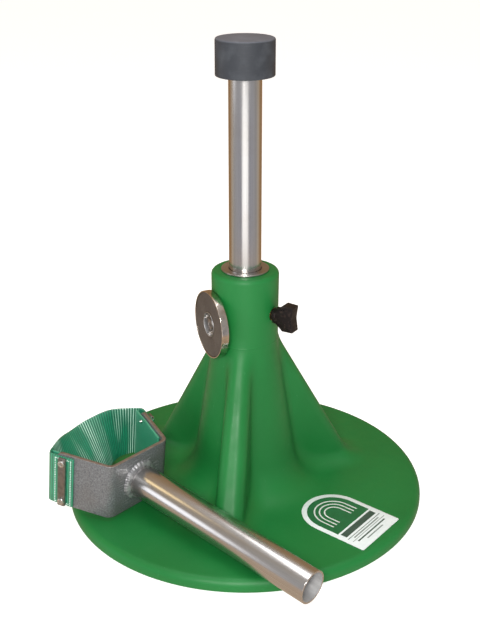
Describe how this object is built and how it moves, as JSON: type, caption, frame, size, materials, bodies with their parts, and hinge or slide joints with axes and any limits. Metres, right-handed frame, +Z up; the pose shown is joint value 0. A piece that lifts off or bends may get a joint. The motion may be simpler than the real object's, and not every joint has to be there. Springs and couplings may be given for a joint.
{
  "type": "farrier hoof stand",
  "caption": "Farrier's hoof stand: a ribbed round moulded base with a clamped sliding post under a rubber cap, a tool magnet, and a loose sling cradle lying on the base.",
  "frame": {"origin": "centre of the underside, on the post's axis", "axes": "+Z up along the post; the base's ribs stand at azimuths 30, 150 and 270 degrees from +X, the knob at 336 and the magnet at 214; -Y is the side that the picture was taken from, turned 8.8 degrees"},
  "size_m": [0.4387, 0.4684, 0.5636],
  "materials": {
    "green_plastic": "moulded, semi-matt",
    "steel": "bare, lengthwise polished",
    "rubber": "moulded matt rubber",
    "chrome": "plated, bright",
    "ferrite": "sintered ceramic, ground flat",
    "brass": "turned",
    "black_plastic": "moulded, fine grain",
    "label_film": "printed film",
    "grey_enamel": "hammered enamel",
    "webbing": "ribbed webbing"
  },
  "bodies": {
    "base": {"base_moulding": "green_plastic", "guide_sleeve": "steel", "foot_plate": "steel", "foot_screw_1": "steel", "foot_screw_2": "steel", "foot_screw_3": "steel", "foot_screw_4": "steel", "label": "label_film", "clamp_insert": "brass", "magnet_cup": "chrome", "magnet_ring": "ferrite", "magnet_hub": "steel", "magnet_washer": "steel", "magnet_bolt": "steel", "magnet_insert": "brass"},
    "swivel_ring": {"mouth_ring": "steel"},
    "post": {"post_tube": "steel", "post_cap": "rubber"},
    "pad": {"clamp_pad": "brass"},
    "knob": {"clamp_knob": "black_plastic", "clamp_stud": "steel"},
    "cradle": {"cradle_yoke": "grey_enamel", "cradle_stem": "steel", "stem_weld": "steel", "sling": "webbing", "sling_clip_left": "steel", "sling_clip_right": "steel", "sling_screw_1": "steel", "sling_screw_2": "steel", "sling_screw_3": "steel", "sling_screw_4": "steel"}
  },
  "joints": [
    {"name": "post_swivel", "type": "hinge", "parent": "base", "child": "swivel_ring", "pos_m": [0, 0, 0.2928], "axis": [0, 0, 1], "continuous": true},
    {"name": "post_slide", "type": "slide", "parent": "swivel_ring", "child": "post", "axis": [0, 0, 1], "range_m": [-0.195, 0.08]},
    {"name": "clamp_feed", "type": "slide", "parent": "base", "child": "pad", "axis": [0.9135, -0.4067, 0], "range_m": [0, 0.0045]},
    {"name": "knob_turn", "type": "hinge", "parent": "pad", "child": "knob", "pos_m": [0.04568, -0.02034, 0.243], "axis": [0.9135, -0.4067, 0], "range_deg": [0, 1085]},
    {"name": "cradle_lift", "type": "slide", "parent": "base", "child": "cradle", "axis": [0, 0, 1], "range_m": [0, 0.6]}
  ],
  "couplings": [
    {"joint": "knob_turn", "follows": "clamp_feed", "rad_per_m": 4188.8}
  ]
}
